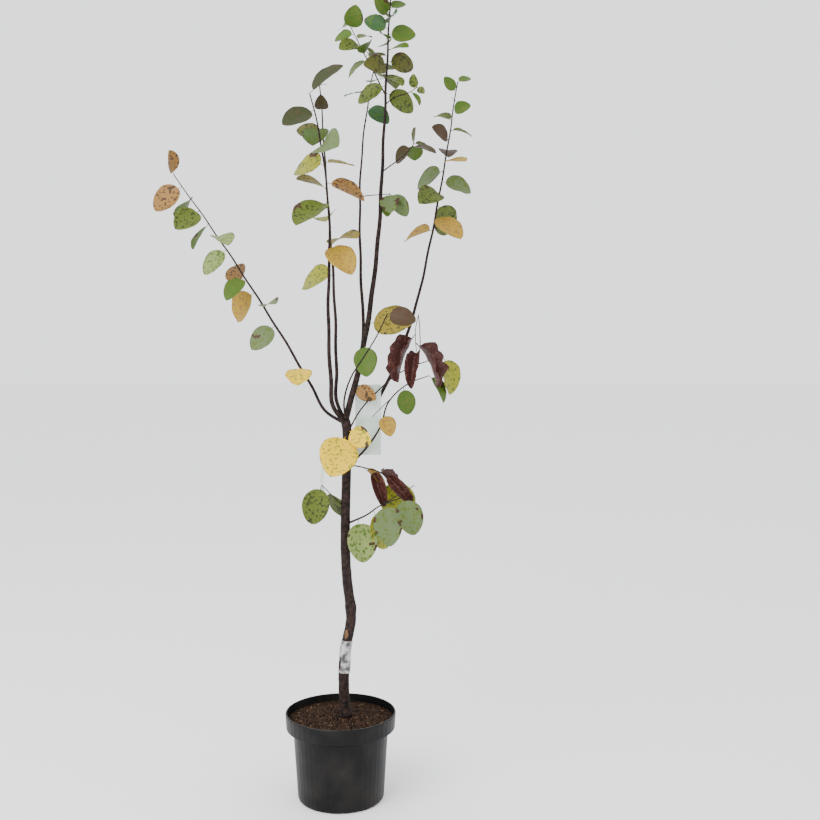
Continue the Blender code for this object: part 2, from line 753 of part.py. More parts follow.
def make_soil():
    """The compost that fills the pot."""
    floor = FLOOR_THICKNESS + GAP
    side = WALL + GAP
    outline = [
        (0.0, floor),
        (wall_radius(floor) - side - GAP, floor),
        (SHOULDER_RADIUS - side - GAP, POT_HEIGHT - LIP_HEIGHT - LIP_CHAMFER + LIP_INSIDE),
        (RIM_RADIUS - LIP_DRAFT - side - GAP, POT_HEIGHT - LIP_HEIGHT + LIP_INSIDE),
        (RIM_RADIUS - LIP_DRAFT - side, SOIL_EDGE),
        (SOIL_SLOPE_SHARE * RIM_RADIUS, SOIL_TOP - SOIL_SLOPE_DROP),
        (SOIL_LEVEL_RADIUS, SOIL_TOP),
        (0.0, SOIL_TOP),
    ]
    return lathe("soil", outline, POT_SIDES, make_material("compost", (0.035, 0.022, 0.016), 0.95))


def make_limbs():
    """Every limb of the tree, by name, each starting on its parent's middle line."""
    line = [Vector((offset, 0.0, height)) for height, offset in TRUNK_LINE.items()]
    limbs = {"trunk": Limb("trunk", line, TRUNK_RADIUS, TRUNK_SIDES, SWELLINGS)}
    waiting = list(SHOOTS)
    while waiting:
        name = waiting.pop(0)
        shoot = SHOOTS[name]
        if shoot.parent not in limbs:
            waiting.append(name)
            continue
        foot = limbs[shoot.parent].place(shoot.at)[0]
        sides = BOUGH_SIDES if name in BOUGHS else TWIG_SIDES
        limbs[name] = Limb(name, shoot_path(name, foot), shoot.radius, sides)
    return limbs


class Space:
    """What is already taken, so that each mass keeps to its own space."""

    def __init__(self):
        self.taken = []

    def take(self, shape, name):
        """Keeps a shape's space for the named piece."""
        self.taken.append((name, BVHTree.FromBMesh(shape)))

    def clash(self, shape, own_names):
        """The name of what a shape touches or nearly touches, apart from what carries it."""
        tree = BVHTree.FromBMesh(shape)
        for name, other in self.taken:
            if name in own_names:
                continue
            near = any(other.find_nearest(vert.co, 2 * GAP)[0] is not None for vert in shape.verts)
            if near or tree.overlap(other):
                return name
        return None


def strip_solid(stations, thickness):
    """A flat strip as a bmesh, from its (point, way it faces, width) at each station."""
    shape = bmesh.new()
    rings = []
    for index, (point, normal, width) in enumerate(stations):
        before = stations[max(index - 1, 0)][0]
        after = stations[min(index + 1, len(stations) - 1)][0]
        along = (after - before).normalized()
        normal = (normal - along * normal.dot(along)).normalized()
        wide = normal.cross(along) * (width / 2)
        thick = normal * (thickness / 2)
        rings.append([
            shape.verts.new(point - wide - thick), shape.verts.new(point + wide - thick),
            shape.verts.new(point + wide + thick), shape.verts.new(point - wide + thick),
        ])
    bridge_rings(shape, rings)
    shape.faces.new(reversed(rings[0]))
    shape.faces.new(rings[-1])
    return shape


def strap_stations(middle):
    """The strap: from the plate, round the trunk, and down as a hanging tail."""
    inside_plate = Vector((PLATE_MIDDLE - STRAP_INSET_SHARE * PLATE_WIDTH, PLATE_DEPTH, STRAP_FOOT))
    stations = [(inside_plate, -FRONT, STRAP_WIDTH)]
    angle = STRAP_START
    while angle <= STRAP_START + STRAP_WOUND:
        radial = Vector((math.cos(math.radians(angle)), math.sin(math.radians(angle)), 0.0))
        rise = STRAP_PITCH * (angle - STRAP_START) / 360.0
        stations.append((middle + radial * STRAP_RADIUS + UP * rise, radial, STRAP_WIDTH))
        angle += STRAP_STEP
    top = stations[-1][0]
    for along, down in TAIL_BENDS:
        point = Vector((
            top.x - TAIL_REACH * along,
            top.y - TAIL_FORWARD * along,
            top.z + (TAIL_FOOT - top.z) * down,
        ))
        stations.append((point, -FRONT, STRAP_WIDTH))
    return stations


def make_label(limbs, space):
    """The blank plant label: plate and strap in one."""
    plate = [
        (Vector((PLATE_MIDDLE, PLATE_DEPTH, height)), -FRONT, PLATE_WIDTH)
        for height in (PLATE_FOOT, PLATE_TOP)
    ]
    trunk = limbs["trunk"]
    share = (STRAP_FOOT - SOIL_TOP) / (trunk.path[-1].z - SOIL_TOP)
    middle = trunk.place(share)[0]
    middle.z = STRAP_FOOT
    material = make_material("label plastic", (0.75, 0.77, 0.76), 0.4)
    shape = strip_solid(plate, LABEL_THICKNESS)
    space.take(shape, "label")
    label = to_object("label", shape, material)
    shape = strip_solid(strap_stations(middle), LABEL_THICKNESS)
    space.take(shape, "label")
    apply_boolean(label, "UNION", [to_object("strap", shape, material)])
    keep_largest(label)


def make_tape(limbs):
    """The tape wound round the graft: a close sleeve on the trunk."""
    trunk = limbs["trunk"]
    height = trunk.path[-1].z - SOIL_TOP
    foot = (TAPE_FOOT - SOIL_TOP) / height
    top = (TAPE_TOP - SOIL_TOP) / height
    material = make_material("grafting tape", (0.35, 0.35, 0.34), 0.35)
    tape = to_object("grafting_tape", trunk.solid(foot, top, grown=GAP + TAPE_THICKNESS), material)
    bore = to_object("bore", trunk.solid(foot - BORE_OVERRUN, top + BORE_OVERRUN, grown=GAP), material)
    apply_boolean(tape, "DIFFERENCE", [bore])
    keep_largest(tape)


def make_mass(name, limbs, space, feet):
    """One mass: its stem, side twigs, spurs and leaves, fused into one solid."""
    main, twigs = MASSES[name]
    stem = limbs[main]
    low = BOUGHS[main] + GAP / stem.length if main in BOUGHS else 0.0
    body = to_object(name, stem.solid(low, 1.0), bark_material())
    if main not in BOUGHS:
        trim_foot(body, [limbs[foot] for foot in feet if foot != main])
    own = [name, main] + twigs
    pieces = []
    for twig in twigs:
        pieces.append(to_object(twig, limbs[twig].solid(0.0, 1.0), bark_material()))
    for shoot in [main] + twigs:
        limb = limbs[shoot]
        bare = max(low, SPUR_FREE_SHARE["stem"]) if shoot == main else SPUR_FREE_SHARE["twig"]
        for spur in spur_solids(limb, bare):
            if space.clash(spur, own):
                spur.free()
            else:
                pieces.append(to_object("spur", spur, bark_material()))
        foliage = SHOOTS[shoot].foliage
        if foliage is None:
            continue
        for shape, tint in foliage_leaves(limb, foliage):
            touched = space.clash(shape, own)
            if touched:
                print("skipped a leaf of", shoot, "that touches", touched)
                shape.free()
            else:
                space.take(shape, name)
                pieces.append(to_object("leaf", shape, leaf_material(tint)))
    if pieces:
        apply_boolean(body, "UNION", pieces)
    keep_largest(body)


def make_lone_leaf(name, limbs, space):
    """One leaf that stands alone, its foot cut clear of the limb that carries it."""
    shoot, leaf = LONE_LEAVES[name]
    along, normal = lone_frame(leaf)
    root = rooted(limbs[shoot], leaf.at, along)
    shape = leaf_solid(root, along, normal, leaf.length, leaf.breadth, leaf.curl, LEAF_FOLD[0])
    touched = space.clash(shape, [shoot])
    if touched:
        print("skipped", name, "that touches", touched)
        shape.free()
        return
    space.take(shape, name)
    body = to_object(name, shape, leaf_material(leaf.tint))
    trim_foot(body, [limbs[shoot]])


def make_tree():
    """The trunk, its tape and label, the boughs, the masses and the lone leaves."""
    limbs = make_limbs()
    trunk = to_object("trunk", limbs["trunk"].solid(0.0, 1.0, level_foot=True), bark_material())
    keep_largest(trunk)
    make_tape(limbs)
    grown_from = ["trunk"]
    for name, end in BOUGHS.items():
        body = to_object(name + "_bough", limbs[name].solid(0.0, end), bark_material())
        trim_foot(body, [limbs[foot] for foot in grown_from])
        grown_from.append(name)
    space = Space()
    for name, limb in limbs.items():
        shape = limb.solid(0.0, 1.0, grown=GAP)
        space.take(shape, name)
        shape.free()
    make_label(limbs, space)
    for name in LONE_LEAVES:
        make_lone_leaf(name, limbs, space)
    for name in MASSES:
        make_mass(name, limbs, space, grown_from)


def main():
    clear_scene()
    make_pot()
    make_soil()
    make_tree()


main()
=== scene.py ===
"""The looks of the young quince tree in its nursery pot, in autumn leaf.

Metres, +Z up, front towards -Y. The tree grows again here by the same few sizes and the same
spiral rule as the CAD part, with finer leaves, rounder limbs, bark relief and crumbs of compost.
"""

import json
import math
import random
from dataclasses import dataclass

import bmesh
import bpy
from mathutils import Euler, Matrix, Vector, noise
from mathutils.bvhtree import BVHTree

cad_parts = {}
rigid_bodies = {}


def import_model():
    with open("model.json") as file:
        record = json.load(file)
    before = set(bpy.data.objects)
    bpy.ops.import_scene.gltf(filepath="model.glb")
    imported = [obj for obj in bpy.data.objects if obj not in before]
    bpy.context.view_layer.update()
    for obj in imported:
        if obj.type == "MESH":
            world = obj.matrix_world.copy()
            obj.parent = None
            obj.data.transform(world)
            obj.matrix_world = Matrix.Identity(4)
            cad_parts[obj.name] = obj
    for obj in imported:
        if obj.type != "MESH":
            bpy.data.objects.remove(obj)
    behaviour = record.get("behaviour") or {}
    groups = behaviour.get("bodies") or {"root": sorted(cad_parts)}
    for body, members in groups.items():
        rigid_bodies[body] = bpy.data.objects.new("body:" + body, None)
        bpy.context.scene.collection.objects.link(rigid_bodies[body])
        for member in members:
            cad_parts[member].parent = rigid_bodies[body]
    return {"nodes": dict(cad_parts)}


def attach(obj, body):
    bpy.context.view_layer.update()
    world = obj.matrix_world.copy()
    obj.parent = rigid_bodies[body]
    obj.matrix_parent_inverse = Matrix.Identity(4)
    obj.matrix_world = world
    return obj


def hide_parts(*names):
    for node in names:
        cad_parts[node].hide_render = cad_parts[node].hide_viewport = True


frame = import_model()

BODY = "root"

# The camera stands where the photograph's stood.
CAMERA_PLACE = (0.154, -2.491, 1.079)
CAMERA_PITCH = 4.85
CAMERA_FIELD = 39.24

# The floor, the soft surroundings and the one large lamp.
FLOOR_SIZE = 30.0
FLOOR_COLOUR = (0.93, 0.93, 0.93)
FLOOR_ROUGHNESS = 0.9
SKY_COLOUR = (0.96, 0.97, 1.0, 1.0)
SKY_LIGHT = 1.9
LAMP_PLACE = (-1.6, -2.2, 3.0)
LAMP_AIM = (0.0, 0.0, 0.9)
LAMP_SIZE = 2.5
LAMP_POWER = 130.0

# Clearance between neighbouring solids.
GAP = 0.0003

# The pot's rim.
RIM_RADIUS = 0.1225

# The compost: level round the trunk, and a little lower at the wall.
SOIL_TOP = 0.184
SOIL_EDGE = 0.179
SOIL_LEVEL_RADIUS = 0.030

# The trunk: how far right of the pot's middle it stands at each of a few heights.
TRUNK_RADIUS = (0.0120, 0.0096)
TRUNK_LINE = {
    SOIL_TOP + GAP: 0.011,
    0.260: 0.007,
    0.335: 0.011,
    0.410: 0.024,
    0.500: 0.015,
    0.600: 0.012,
    0.800: 0.017,
    0.846: 0.0135,
}
# Its swellings: height, extra radius, and reach up and down.
ROOT_FLARE = (0.184, 0.0040, 0.014)
GRAFT = (0.300, 0.0007, 0.030)
OLD_NODE = (0.431, 0.0018, 0.010)
BOUGH_COLLAR = (0.757, 0.0009, 0.012)
FORK_COLLAR = (0.838, 0.0010, 0.018)
SWELLINGS = (ROOT_FLARE, GRAFT, OLD_NODE, BOUGH_COLLAR, FORK_COLLAR)

# Limbs.
TRUNK_SIDES = 40
BOUGH_SIDES = 20
TWIG_SIDES = 10
STEP = 0.055
FEWEST_STEPS = 5
SMOOTH_STEPS = 5
TRUNK_SMOOTH_STEPS = 14
NEAREST_RING = 0.002
WOBBLE = 2.0
WOBBLE_SHARE = (0.5, 1.0)
COLLAR_SHARE = 0.10
MIDDLE_SHARE = 0.50
RELIEF = 0.055
RELIEF_SCALE = 95.0

# The spiral that leaves climb by.
SPIRAL = 144.0
SPIRAL_UNEVEN = (-25.0, 25.0)
CROWDED_TOP = 0.9
DROOP_UNEVEN = (0.6, 1.3)
LENGTH_UNEVEN = (0.85, 1.1)
OUTWARD_FACING = 0.2
ROOTED_SHARE = 0.6
ALONG_THE_STEM = 0.05
CARRIED_SHARE = 0.1

# Leaves.
STALK_SHARE = 0.10
STALK_HALF_WIDTH = 0.0007
LEAF_THICKNESS_SHARE = 0.006
LEAF_LEAST_THICKNESS = 0.0004
LEAF_FOLD = (6.0, 20.0)
LEAF_BREADTH = (0.68, 0.84)
LEAF_LEAST_CURL = 1.0
BLADE_LEAN = 0.8
BLADE_FULLNESS = 0.6
BLADE_THINNING = (1.1, 0.6)
BLADE_EDGE_THINNING = 0.7
BLADE_CUP = 1.4
TIP_HALF_WIDTH = 0.0008
TIP_THICKNESS = 0.0004

# Where a blade has a ring of corners along its length, and where it has them across its half width.
STATIONS = (
    0.02, 0.05, 0.10, 0.16, 0.23, 0.30, 0.37, 0.44, 0.51, 0.58, 0.65, 0.72, 0.79, 0.85, 0.91, 0.96,
)
ACROSS = (-1.0, -0.82, -0.62, -0.42, -0.20, 0.0, 0.20, 0.42, 0.62, 0.82, 1.0)

# The waves of a blade: height, how fast they change along and across it, and from leaf to leaf.
RIPPLE = 0.10
RIPPLE_STEP = 5.0
RIPPLE_ACROSS = 1.5
RIPPLE_SPREAD = 50.0

# A dead leaf, folded and crumpled.
DEAD_RIPPLE = 0.9
DEAD_RIPPLE_STEP = 9.0
DEAD_FOLD = 60.0
DEAD_CURL = 55.0

# Browning: the share of leaves that have it, the size of its patches, and what draws it outwards.
BROWN_EDGE_SHARE = 0.45
BROWN_EDGE_SCALE = 60.0
BROWN_TO_EDGE = 0.6
BROWN_TO_TIP = 0.5
BROWN_LEVEL = 1.05

# Materials: the gloss of a plain one, the finest detail and the depth of the shared pattern, and the
# power that deepens the leaves' tints.
GLOSS = 0.10
PATTERN_DETAIL = 6.0
RELIEF_DEPTH = 0.001
LEAF_RICHNESS = 1.7

# The tint that each tint is speckled with.
MOTTLES = {
    "green": "olive_green",
    "blue_green": "green",
    "grey_green": "olive_green",
    "pale_green": "green",
    "olive_green": "dark_olive",
    "olive": "dark_olive",
    "dark_olive": "brown_green",
    "yellow_green": "olive_green",
    "olive_gold": "olive",
    "gold": "tan",
    "lemon": "yellow_green",
    "tan": "brown",
    "brown": "brown_green",
    "brown_green": "brown",
    "dead": "dead_pale",
    "dead_pale": "dead",
}

# The pale cut where the stock was pruned, above the tape.
CUT_PLACE = (0.0150, -0.0095, 0.371)
CUT_SIZE = (0.0050, 0.0024, 0.0125)
CUT_SEGMENTS = 24
CUT_RINGS = 12

# Compost crumbs.
CRUMBS = 1400
CHIP_SHARE = 0.22
CRUMB_SIZE = (0.0012, 0.0042)
CRUMB_STRETCH = (0.8, 2.4)
CRUMB_MARGIN = 0.012


@dataclass
class Foliage:
    """The leaves of one shoot. Each pair is for its lowest leaf and for its last one."""

    count: int
    first: float              # how far up the shoot the lowest leaf is, 0 to 1
    size: tuple               # leaf length with its stalk
    seed: int
    start: float = 0.0        # the side of the lowest leaf: 0 right, 90 back, 180 left, 270 front
    favour: float = 270.0     # the side that the leaves turn towards
    squeeze: float = 1.0      # 1 for leaves on all sides, less where they crowd the favoured one
    spread: tuple = (75.0, 45.0)   # angle between leaf and shoot
    droop: tuple = (0.8, 0.3)      # how strongly each leaf hangs
    facing: tuple = (0.2, 0.9)     # range: 0 faces the sky, 1 faces the front
    curl: tuple = (10.0, 45.0)     # range of the curl along a leaf
    tints: tuple = ("green",)      # from the lowest leaf to the last


@dataclass
class Shoot:
    """One shoot. Its angles are read at the foot, past the collar, half way and at the tip."""

    parent: str
    at: float                 # how far up its parent it starts, 0 to 1
    length: float
    radius: tuple             # at the foot and at the tip
    lean: tuple               # degrees from upright, to the right
    forward: tuple            # degrees from upright, to the front
    foliage: Foliage = None


@dataclass
class Leaf:
    """One leaf by itself."""

    at: float                 # how far up its shoot it is, 0 to 1
    clock: float              # where it points, seen from the front: 0 up, 90 right
    out: float                # degrees that it leans to the front
    length: float
    turned: float             # degrees from facing the front to facing up
    curl: float
    breadth: float
    tint: str


# The boughs, and how far up its shoot each one runs.
BOUGHS = {
    "leader": 0.70,
    "right": 0.59,
    "second": 0.80,
    "left": 0.36,
    "front_left": 0.52,
    "back_left": 0.31,
}

# The masses: the main shoot of each, and the twigs that branch from it.
MASSES = {
    "crown_top": ("leader", ["top_left", "top_right"]),
    "right_wand": ("right", []),
    "second_wand": ("second", []),
    "left_wand": ("left", []),
    "front_left_wand": ("front_left", []),
    "back_left_wand": ("back_left", []),
    "front_shoot": ("front", []),
    "brown_shoot": ("brown", ["dead_twig", "dead_stalk"]),
    "lower_right_shoot": ("lower_right", ["bare_twig"]),
    "mid_right_twig": ("mid_right", []),
    "second_side_twig": ("second_twig", []),
    "low_dead_spray": ("low_dead", []),
    "low_mottled_spray": ("low_mottled", ["low_forked"]),
    "low_left_spray": ("low_left", []),
}

SHOOTS = {
    "leader": Shoot(
        "trunk", 0.998, 0.945, (0.0072, 0.0013), lean=(17, 13, 3, 3), forward=(-4, -4, 1, 4),
        foliage=Foliage(
            22, 0.75, (0.066, 0.038), seed=5, start=20, droop=(0.7, 0.1),
            tints=("olive_green", "olive", "green", "blue_green", "green", "pale_green"),
        ),
    ),
    "top_left": Shoot(
        "leader", 0.745, 0.178, (0.0018, 0.0008), lean=(-22, -25, -28, -25), forward=(-12, -12, -11, -11),
        foliage=Foliage(
            9, 0.40, (0.050, 0.052), seed=3, start=0, tints=("grey_green", "green", "olive_green", "green"),
        ),
    ),
    "top_right": Shoot(
        "leader", 0.725, 0.088, (0.0014, 0.0008), lean=(45, 58, 80, 60), forward=(33, 33, 33, 33),
        foliage=Foliage(3, 0.78, (0.040, 0.024), seed=2, start=0, tints=("green", "olive_green")),
    ),
    "right": Shoot(
        "trunk", 0.873, 0.895, (0.0047, 0.0012), lean=(24, 31, 12, 8), forward=(-46, -12, -5, -8),
        foliage=Foliage(
            15, 0.62, (0.096, 0.040), seed=4, start=170, droop=(0.9, 0.3),
            tints=("gold", "olive_green", "grey_green", "gold", "brown", "olive_green", "green", "green"),
        ),
    ),
    "second": Shoot(
        "leader", 0.155, 0.655, (0.0041, 0.0011), lean=(11, -4, 0, 12), forward=(-20, -9, -7, -7),
        foliage=Foliage(
            5, 0.84, (0.066, 0.038), seed=1, start=0, tints=("blue_green", "green", "olive_green"),
        ),
    ),
    "left": Shoot(
        "trunk", 0.985, 0.685, (0.0037, 0.0011), lean=(-75, -30, -33, -37), forward=(-10, -9, -9, -7),
        foliage=Foliage(
            12, 0.40, (0.084, 0.072), seed=7, start=190, favour=200, squeeze=0.75, droop=(1.0, 0.9),
            tints=(
                "grey_green", "gold", "green", "tan", "pale_green", "green", "olive_green", "green", "tan",
            ),
        ),
    ),
    "front_left": Shoot(
        "trunk", 0.985, 0.708, (0.0052, 0.0013), lean=(-48, -4, 3, -14), forward=(22, 9, 7, 9),
        foliage=Foliage(
            9, 0.56, (0.108, 0.082), seed=6, start=300, droop=(0.8, 0.7),
            tints=("gold", "olive_green", "tan", "yellow_green", "grey_green", "green", "dark_olive"),
        ),
    ),
    "back_left": Shoot(
        "trunk", 0.990, 0.732, (0.0043, 0.0013), lean=(-34, 1, -4, -4), forward=(-6, 3, -1, -8),
        foliage=Foliage(
            9, 0.34, (0.128, 0.046), seed=9, start=10, droop=(0.5, 0.5),
            tints=("yellow_green", "olive_gold", "yellow_green", "olive_gold", "olive", "brown_green"),
        ),
    ),
    "front": Shoot(
        "trunk", 0.985, 0.288, (0.0023, 0.0012), lean=(-14, -2, 34, 26), forward=(23, 23, 23, 24),
        foliage=Foliage(1, 1.0, (0.067, 0.067), seed=1, start=0, droop=(0.0, 0.0), tints=("brown",)),
    ),
    "brown": Shoot(
        "trunk", 0.953, 0.295, (0.0019, 0.0010), lean=(25, 30, 52, 82), forward=(8, 5, -24, -22),
        foliage=Foliage(1, 1.0, (0.100, 0.100), seed=2, start=0, droop=(0.9, 0.9), tints=("yellow_green",)),
    ),
    "dead_twig": Shoot("brown", 0.79, 0.112, (0.0012, 0.0009), lean=(10, 6, 0, -8), forward=(10, 10, 10, 10)),
    "dead_stalk": Shoot(
        "dead_twig", 0.98, 0.080, (0.0009, 0.0008), lean=(-60, -165, -178, -190), forward=(14, 14, 14, 14),
        foliage=Foliage(3, 0.55, (0.110, 0.085), seed=3, start=200, spread=(35.0, 25.0), tints=("dead",)),
    ),
    "lower_right": Shoot(
        "trunk", 0.841, 0.290, (0.0027, 0.0011), lean=(62, 46, 20, 84), forward=(8, 4, -14, -26),
        foliage=Foliage(
            3, 0.50, (0.048, 0.076), seed=5, start=280, droop=(1.8, 1.8), tints=("gold", "green", "green"),
        ),
    ),
    "bare_twig": Shoot("lower_right", 0.66, 0.066, (0.0011, 0.0008), lean=(-134,) * 4, forward=(20,) * 4),
    "mid_right": Shoot(
        "leader", 0.575, 0.105, (0.0016, 0.0009), lean=(44, 52, 50, 32), forward=(-24, -24, -24, -24),
        foliage=Foliage(5, 0.88, (0.060, 0.042), seed=1, start=180, tints=("brown_green", "green", "olive")),
    ),
    "second_twig": Shoot(
        "second", 0.535, 0.078, (0.0012, 0.0008), lean=(58, 84, 90, 87), forward=(30, 30, 30, 30),
        foliage=Foliage(
            4, 0.88, (0.058, 0.056), seed=4, start=270, droop=(1.2, 0.9), tints=("green", "grey_green"),
        ),
    ),
    "low_dead": Shoot(
        "trunk", 0.850, 0.108, (0.0017, 0.0011), lean=(94, 98, 108, 118), forward=(-14, -14, -15, -15),
        foliage=Foliage(
            5, 0.37, (0.080, 0.105), seed=8, start=300, droop=(1.2, 1.2), spread=(50.0, 30.0),
            tints=("gold", "dead", "dead", "dead", "yellow_green"),
        ),
    ),
    "low_mottled": Shoot(
        "trunk", 0.654, 0.142, (0.0025, 0.0010), lean=(66, 67, 54, 74), forward=(14, 14, 14, 14),
        foliage=Foliage(
            4, 0.22, (0.108, 0.090), seed=2, start=280, droop=(2.2, 2.0),
            tints=("pale_green", "yellow_green", "grey_green", "grey_green"),
        ),
    ),
    "low_forked": Shoot("low_mottled", 0.62, 0.098, (0.0013, 0.0009), lean=(57,) * 4, forward=(18,) * 4),
    "low_left": Shoot(
        "trunk", 0.708, 0.078, (0.0014, 0.0009), lean=(-46, -44, -42, -42), forward=(19, 19, 19, 19),
        foliage=Foliage(
            1, 1.0, (0.097, 0.097), seed=1, start=200, droop=(2.6, 2.6), facing=(1.0, 1.0),
            tints=("olive_green",),
        ),
    ),
}

# The leaves that stand alone: node name, the shoot that carries it, and the leaf.
LONE_LEAVES = {
    "leaf_left_bough": ("left", Leaf(0.24, 180, 65, 0.080, 0, 25, 0.81, "lemon")),
    "leaf_leader_tan": ("leader", Leaf(0.08, 120, 15, 0.052, 5, 60, 0.74, "tan")),
    "leaf_leader_green": ("leader", Leaf(0.18, 175, 25, 0.076, 0, 10, 0.76, "green")),
    "leaf_leader_yellow": ("leader", Leaf(0.23, 85, 20, 0.108, 30, 12, 0.74, "olive_gold")),
    "leaf_fork_large": ("trunk", Leaf(0.950, -160, 40, 0.112, 0, 12, 0.84, "lemon")),
    "leaf_fork_small": ("trunk", Leaf(0.965, 118, 38, 0.070, 5, 15, 0.76, "lemon")),
    "leaf_behind_trunk": ("trunk", Leaf(0.67, -35, -35, 0.073, 60, 10, 0.74, "olive_green")),
}

TINTS = {
    "green": (0.17, 0.26, 0.05),
    "blue_green": (0.12, 0.22, 0.11),
    "grey_green": (0.24, 0.30, 0.16),
    "pale_green": (0.36, 0.42, 0.20),
    "olive_green": (0.22, 0.26, 0.06),
    "olive": (0.20, 0.20, 0.05),
    "dark_olive": (0.10, 0.12, 0.03),
    "yellow_green": (0.42, 0.42, 0.07),
    "olive_gold": (0.40, 0.34, 0.08),
    "gold": (0.50, 0.38, 0.09),
    "lemon": (0.80, 0.62, 0.07),
    "tan": (0.42, 0.28, 0.11),
    "brown": (0.16, 0.10, 0.05),
    "brown_green": (0.14, 0.12, 0.04),
    "dead": (0.17, 0.085, 0.075),
    "dead_pale": (0.26, 0.14, 0.12),
}

FRONT = Vector((0.0, -1.0, 0.0))
UP = Vector((0.0, 0.0, 1.0))


def plain_material(name, colour, roughness, gloss=GLOSS):
    """A plain material, made once and then reused."""
    found = bpy.data.materials.get(name)
    if found:
        return found
    material = bpy.data.materials.new(name)
    material.use_nodes = True
    shader = material.node_tree.nodes["Principled BSDF"]
    shader.inputs["Base Color"].default_value = (*colour, 1.0)
    shader.inputs["Roughness"].default_value = roughness
    shader.inputs["Specular IOR Level"].default_value = gloss
    return material


def two_tone_group():
    """The shared pattern: two tones that meet along a noise, and a relief of the same noise."""
    name = "two tones"
    if name in bpy.data.node_groups:
        return bpy.data.node_groups[name]
    group = bpy.data.node_groups.new(name, "ShaderNodeTree")
    for tone in ("Tone", "Other Tone"):
        group.interface.new_socket(tone, in_out="INPUT", socket_type="NodeSocketColor")
    for number in ("Scale", "Low", "High", "Relief"):
        group.interface.new_socket(number, in_out="INPUT", socket_type="NodeSocketFloat")
    group.interface.new_socket("Color", in_out="OUTPUT", socket_type="NodeSocketColor")
    group.interface.new_socket("Normal", in_out="OUTPUT", socket_type="NodeSocketVector")
    start = group.nodes.new("NodeGroupInput")
    end = group.nodes.new("NodeGroupOutput")
    place = group.nodes.new("ShaderNodeTexCoord")
    pattern = group.nodes.new("ShaderNodeTexNoise")
    pattern.inputs["Detail"].default_value = PATTERN_DETAIL
    share = group.nodes.new("ShaderNodeMapRange")
    mix = group.nodes.new("ShaderNodeMix")
    mix.data_type = "RGBA"
    relief = group.nodes.new("ShaderNodeBump")
    relief.inputs["Distance"].default_value = RELIEF_DEPTH
    first, second = [socket for socket in mix.inputs if socket.type == "RGBA"]
    colour = [socket for socket in mix.outputs if socket.type == "RGBA"][0]
    group.links.new(place.outputs["Object"], pattern.inputs["Vector"])
    group.links.new(start.outputs["Scale"], pattern.inputs["Scale"])
    group.links.new(pattern.outputs["Fac"], share.inputs["Value"])
    group.links.new(start.outputs["Low"], share.inputs["From Min"])
    group.links.new(start.outputs["High"], share.inputs["From Max"])
    group.links.new(share.outputs["Result"], mix.inputs["Factor"])
    group.links.new(start.outputs["Tone"], first)
    group.links.new(start.outputs["Other Tone"], second)
    group.links.new(start.outputs["Relief"], relief.inputs["Strength"])
    group.links.new(pattern.outputs["Fac"], relief.inputs["Height"])
    group.links.new(colour, end.inputs["Color"])
    group.links.new(relief.outputs["Normal"], end.inputs["Normal"])
    return group


def two_tone_material(name, tone, other, roughness, gloss, scale, between, relief):
    """A material of two tones, which turn from one to the other between two levels of the noise."""
    if name in bpy.data.materials:
        return bpy.data.materials[name]
    material = plain_material(name, other, roughness, gloss)
    nodes = material.node_tree.nodes
    links = material.node_tree.links
    pattern = nodes.new("ShaderNodeGroup")
    pattern.node_tree = two_tone_group()
    pattern.inputs["Tone"].default_value = (*tone, 1.0)
    pattern.inputs["Other Tone"].default_value = (*other, 1.0)
    pattern.inputs["Scale"].default_value = scale
    pattern.inputs["Low"].default_value, pattern.inputs["High"].default_value = between
    pattern.inputs["Relief"].default_value = relief
    links.new(pattern.outputs["Color"], nodes["Principled BSDF"].inputs["Base Color"])
    links.new(pattern.outputs["Normal"], nodes["Principled BSDF"].inputs["Normal"])
    return material


def bark_material():
    """Dark red-brown bark, in paler flakes."""
    return two_tone_material(
        "quince bark",
        tone=(0.006, 0.004, 0.0035),
        other=(0.034, 0.018, 0.014),
        roughness=0.7,
        gloss=0.15,
        scale=120.0,
        between=(0.38, 0.68),
        relief=0.5,
    )


def twig_material():
    """Young bark, smoother."""
    return two_tone_material(
        "young quince bark",
        tone=(0.010, 0.006, 0.005),
        other=(0.032, 0.018, 0.012),
        roughness=0.6,
        gloss=0.15,
        scale=160.0,
        between=(0.38, 0.68),
        relief=0.2,
    )


def leaf_tone(tint):
    """A tint's colour, deepened because the studio light pales it."""
    return [value ** LEAF_RICHNESS for value in TINTS[tint]]


def leaf_material(tint):
    """One tint of leaf, speckled with the tint that it turns to."""
    return two_tone_material(
        "leaf " + tint,
        tone=leaf_tone(tint),
        other=leaf_tone(MOTTLES[tint]),
        roughness=0.55,
        gloss=0.25,
        scale=150.0,
        between=(0.53, 0.60),
        relief=0.25,
    )


def pot_material():
    """Black satin plastic with brownish dust."""
    return two_tone_material(
        "nursery plastic",
        tone=(0.003, 0.003, 0.0033),
        other=(0.014, 0.012, 0.010),
        roughness=0.45,
        gloss=0.15,
        scale=16.0,
        between=(0.42, 0.72),
        relief=0.1,
    )


def compost_material():
    """Dark moist compost."""
    return two_tone_material(
        "moist compost",
        tone=(0.006, 0.004, 0.003),
        other=(0.050, 0.028, 0.017),
        roughness=0.95,
        gloss=0.05,
        scale=260.0,
        between=(0.42, 0.66),
        relief=0.8,
    )


def chip_material():
    """The paler chips of wood in the compost."""
    return two_tone_material(
        "wood chips",
        tone=(0.045, 0.024, 0.013),
        other=(0.15, 0.090, 0.050),
        roughness=0.9,
        gloss=0.05,
        scale=300.0,
        between=(0.40, 0.60),
        relief=0.3,
    )


def tape_material():
    """Silver-grey tape, with painted shade for its creases: a near-black tone laid on in a noise pattern."""
    return two_tone_material(
        "silver tape",
        # The near-black tone is painted shade, standing in for the shade in the tape's creases.
        tone=(0.035, 0.032, 0.032),
        other=(0.46, 0.45, 0.44),
        roughness=0.35,
        gloss=0.5,
        scale=75.0,
        between=(0.40, 0.62),
        relief=0.6,
    )


